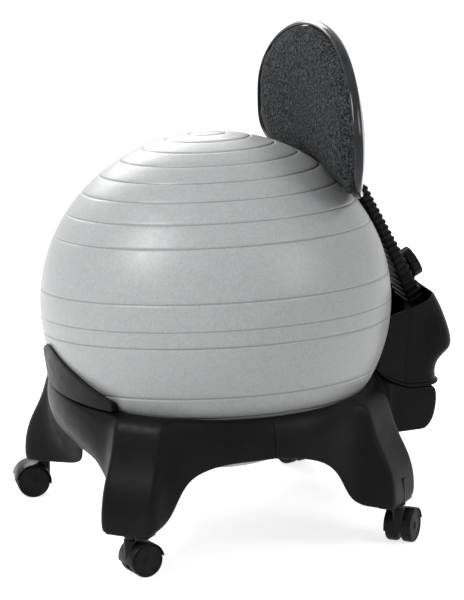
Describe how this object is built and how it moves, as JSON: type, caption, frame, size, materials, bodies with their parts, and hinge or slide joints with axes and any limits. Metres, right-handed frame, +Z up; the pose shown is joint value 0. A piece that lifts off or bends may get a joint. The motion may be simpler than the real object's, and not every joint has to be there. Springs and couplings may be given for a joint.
{
  "type": "balance ball chair",
  "caption": "Inflated ball held in a moulded four-legged ring on twin-wheel castors, with a front guard and an oval backrest on a height-adjustable bar.",
  "frame": {"origin": "on the floor, under the middle of the chair's footprint", "axes": "+Z up; the sitter faces -Y, the backrest is towards +Y, and +X is the chair's left"},
  "size_m": [0.5196, 0.609, 0.745],
  "materials": {
    "ball_vinyl": "satin vinyl, fine grain",
    "plug_plastic": "matt",
    "base_plastic": "satin, fine grain",
    "guard_plastic": "satin, fine grain",
    "boot_rubber": "satin",
    "knob_plastic": "satin",
    "pad_fabric": "close plain weave",
    "board_wood": "bare plywood",
    "shell_plastic": "gloss",
    "trim_chrome": "polished dark plate",
    "bar_paint": "satin powder coat",
    "steel": "zinc plated",
    "hood_plastic": "semi-gloss",
    "wheel_nylon": "satin"
  },
  "bodies": {
    "base": {"base_front": "base_plastic", "base_rear": "base_plastic", "joint_plate_left": "steel", "joint_plate_right": "steel", "joint_bolt_left_front": "steel", "joint_bolt_left_rear": "steel", "joint_bolt_right_front": "steel", "joint_bolt_right_rear": "steel", "front_guard": "guard_plastic", "rear_housing": "base_plastic", "bar_foot": "bar_paint", "foot_bolt": "steel", "foot_nut": "steel", "bar_sleeve": "bar_paint", "ribbed_boot": "boot_rubber", "castor_stem_front_left": "steel", "castor_stem_front_right": "steel", "castor_stem_rear_left": "steel", "castor_stem_rear_right": "steel"},
    "ball": {"ball_skin": "ball_vinyl", "ball_plug": "plug_plastic"},
    "backrest": {"back_bar": "bar_paint", "back_pad": "pad_fabric", "back_board": "board_wood", "back_shell": "shell_plastic", "back_trim": "trim_chrome", "back_screw_1": "steel", "back_screw_2": "steel"},
    "knob": {"height_knob": "knob_plastic"},
    "castor_front_left": {"castor_hood_front_left": "hood_plastic", "castor_axle_front_left": "bar_paint"},
    "wheel_front_left_a": {"castor_wheel_front_left_a": "wheel_nylon"},
    "wheel_front_left_b": {"castor_wheel_front_left_b": "wheel_nylon"},
    "castor_front_right": {"castor_hood_front_right": "hood_plastic", "castor_axle_front_right": "bar_paint"},
    "wheel_front_right_a": {"castor_wheel_front_right_a": "wheel_nylon"},
    "wheel_front_right_b": {"castor_wheel_front_right_b": "wheel_nylon"},
    "castor_rear_left": {"castor_hood_rear_left": "hood_plastic", "castor_axle_rear_left": "bar_paint"},
    "wheel_rear_left_a": {"castor_wheel_rear_left_a": "wheel_nylon"},
    "wheel_rear_left_b": {"castor_wheel_rear_left_b": "wheel_nylon"},
    "castor_rear_right": {"castor_hood_rear_right": "hood_plastic", "castor_axle_rear_right": "bar_paint"},
    "wheel_rear_right_a": {"castor_wheel_rear_right_a": "wheel_nylon"},
    "wheel_rear_right_b": {"castor_wheel_rear_right_b": "wheel_nylon"}
  },
  "joints": [
    {"name": "ball_spin", "type": "hinge", "parent": "base", "child": "ball", "pos_m": [0, -0.04435, 0.3416], "axis": [-0.1253, 0, 0.9921], "continuous": true},
    {"name": "back_height", "type": "slide", "parent": "base", "child": "backrest", "axis": [0, -0.4633, 0.8862], "range_m": [0, 0.07]},
    {"name": "knob_turn", "type": "hinge", "parent": "base", "child": "knob", "pos_m": [0, 0.24797, 0.36], "axis": [0, 0.8862, 0.4633], "continuous": true},
    {"name": "swivel_front_left", "type": "hinge", "parent": "base", "child": "castor_front_left", "pos_m": [0.20747, -0.25013, 0.05], "axis": [0, 0, 1], "continuous": true},
    {"name": "roll_front_left_a", "type": "hinge", "parent": "castor_front_left", "child": "wheel_front_left_a", "pos_m": [0.20384, -0.23148, 0.025], "axis": [-0.9816, -0.1908, 0], "continuous": true},
    {"name": "roll_front_left_b", "type": "hinge", "parent": "castor_front_left", "child": "wheel_front_left_b", "pos_m": [0.20384, -0.23148, 0.025], "axis": [-0.9816, -0.1908, 0], "continuous": true},
    {"name": "swivel_front_right", "type": "hinge", "parent": "base", "child": "castor_front_right", "pos_m": [-0.20747, -0.25013, 0.05], "axis": [0, 0, 1], "continuous": true},
    {"name": "roll_front_right_a", "type": "hinge", "parent": "castor_front_right", "child": "wheel_front_right_a", "pos_m": [-0.21011, -0.26895, 0.025], "axis": [0.9903, -0.1392, 0], "continuous": true},
    {"name": "roll_front_right_b", "type": "hinge", "parent": "castor_front_right", "child": "wheel_front_right_b", "pos_m": [-0.21011, -0.26895, 0.025], "axis": [0.9903, -0.1392, 0], "continuous": true},
    {"name": "swivel_rear_left", "type": "hinge", "parent": "base", "child": "castor_rear_left", "pos_m": [0.20747, 0.16603, 0.05], "axis": [0, 0, 1], "continuous": true},
    {"name": "roll_rear_left_a", "type": "hinge", "parent": "castor_rear_left", "child": "wheel_rear_left_a", "pos_m": [0.19313, 0.17849, 0.025], "axis": [-0.6561, -0.7547, 0], "continuous": true},
    {"name": "roll_rear_left_b", "type": "hinge", "parent": "castor_rear_left", "child": "wheel_rear_left_b", "pos_m": [0.19313, 0.17849, 0.025], "axis": [-0.6561, -0.7547, 0], "continuous": true},
    {"name": "swivel_rear_right", "type": "hinge", "parent": "base", "child": "castor_rear_right", "pos_m": [-0.20747, 0.16603, 0.05], "axis": [0, 0, 1], "continuous": true},
    {"name": "roll_rear_right_a", "type": "hinge", "parent": "castor_rear_right", "child": "wheel_rear_right_a", "pos_m": [-0.22564, 0.16047, 0.025], "axis": [0.2924, -0.9563, 0], "continuous": true},
    {"name": "roll_rear_right_b", "type": "hinge", "parent": "castor_rear_right", "child": "wheel_rear_right_b", "pos_m": [-0.22564, 0.16047, 0.025], "axis": [0.2924, -0.9563, 0], "continuous": true}
  ]
}
